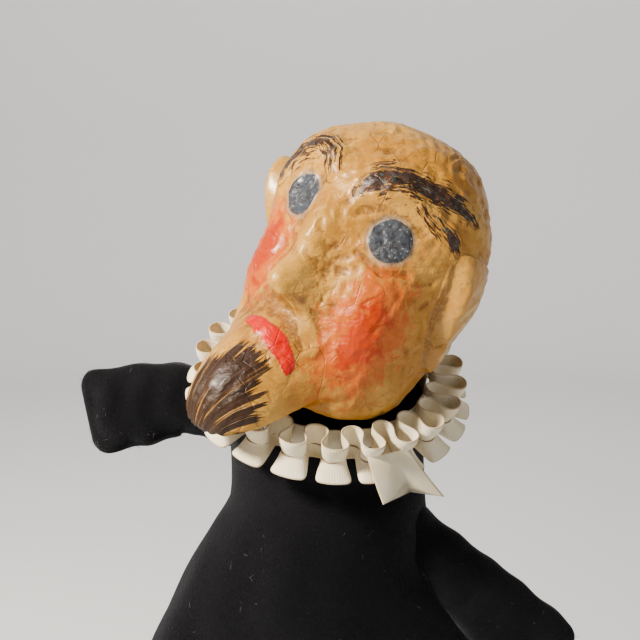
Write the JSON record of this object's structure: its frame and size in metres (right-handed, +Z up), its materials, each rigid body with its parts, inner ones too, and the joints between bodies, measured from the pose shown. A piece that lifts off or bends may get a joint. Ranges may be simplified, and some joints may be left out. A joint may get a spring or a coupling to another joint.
{
  "type": "hand puppet",
  "caption": "Glove puppet: hollow moulded paper head on a finger tube, pleated collar ruff and a felt gown with mitt arms and an open hem for the hand.",
  "frame": {"origin": "middle of the hand opening, in the plane of the hem", "axes": "+Z up the gown to the head, -Y the way the gown's front looks, +X towards the puppet's left arm"},
  "size_m": [0.2203, 0.1162, 0.4023],
  "materials": {
    "felt": "matt wool felt",
    "ruff_cotton": "matt ribbed cotton",
    "thread": "matt cotton thread",
    "cord": "matt waxed thread",
    "painted_paper": "varnished papier-mache",
    "cardboard": "raw card"
  },
  "bodies": {
    "skirt": {"skirt_front": "felt", "skirt_back": "felt", "hem_facing": "felt"},
    "torso": {"bodice_front": "felt", "bodice_back": "felt"},
    "collar": {"neck_yoke": "felt", "ruff_strip": "ruff_cotton", "ruff_tape": "ruff_cotton", "ruff_thread": "thread"},
    "neck": {"gown_neck": "felt", "neck_tie": "cord"},
    "head": {"head_shell": "painted_paper", "neck_collar": "painted_paper", "neck_bead": "painted_paper", "finger_tube": "cardboard", "tube_end_disc": "cardboard", "ear_right": "painted_paper", "ear_left": "painted_paper"},
    "right_upper_arm": {"sleeve_right_front": "felt", "sleeve_right_back": "felt"},
    "right_hand": {"mitt_right_front": "felt", "mitt_right_back": "felt"},
    "left_upper_arm": {"sleeve_left_front": "felt", "sleeve_left_back": "felt"},
    "left_hand": {"mitt_left_front": "felt", "mitt_left_back": "felt"}
  },
  "joints": [
    {"name": "waist_bow", "type": "hinge", "parent": "skirt", "child": "torso", "pos_m": [0, 0.002, 0.165], "axis": [1, 0, 0], "range_deg": [-15, 20]},
    {"name": "neck_nod", "type": "hinge", "parent": "torso", "child": "collar", "pos_m": [-0.0035, 0.006, 0.262], "axis": [1, 0, 0], "range_deg": [-6, 10]},
    {"name": "neck_tilt", "type": "hinge", "parent": "collar", "child": "neck", "pos_m": [-0.0035, 0, 0.288], "axis": [0, 1, 0], "range_deg": [-7, 3]},
    {"name": "head_turn", "type": "hinge", "parent": "neck", "child": "head", "pos_m": [-0.0035, 0, 0.288], "axis": [0.4226, 0, 0.9063], "range_deg": [-8, 36]},
    {"name": "right_arm_lift", "type": "hinge", "parent": "torso", "child": "right_upper_arm", "pos_m": [-0.036, 0.016, 0.266], "axis": [0, 1, 0], "range_deg": [-40, 0]},
    {"name": "right_arm_bend", "type": "hinge", "parent": "right_upper_arm", "child": "right_hand", "pos_m": [-0.06889, 0.009, 0.28064], "axis": [0, 0, 1], "range_deg": [0, 50]},
    {"name": "left_arm_lift", "type": "hinge", "parent": "torso", "child": "left_upper_arm", "pos_m": [0.035, -0.006, 0.224], "axis": [0, -1, 0], "range_deg": [0, 55]},
    {"name": "left_arm_bend", "type": "hinge", "parent": "left_upper_arm", "child": "left_hand", "pos_m": [0.06046, -0.013, 0.19854], "axis": [-0.7071, 0, -0.7071], "range_deg": [0, 50]}
  ]
}
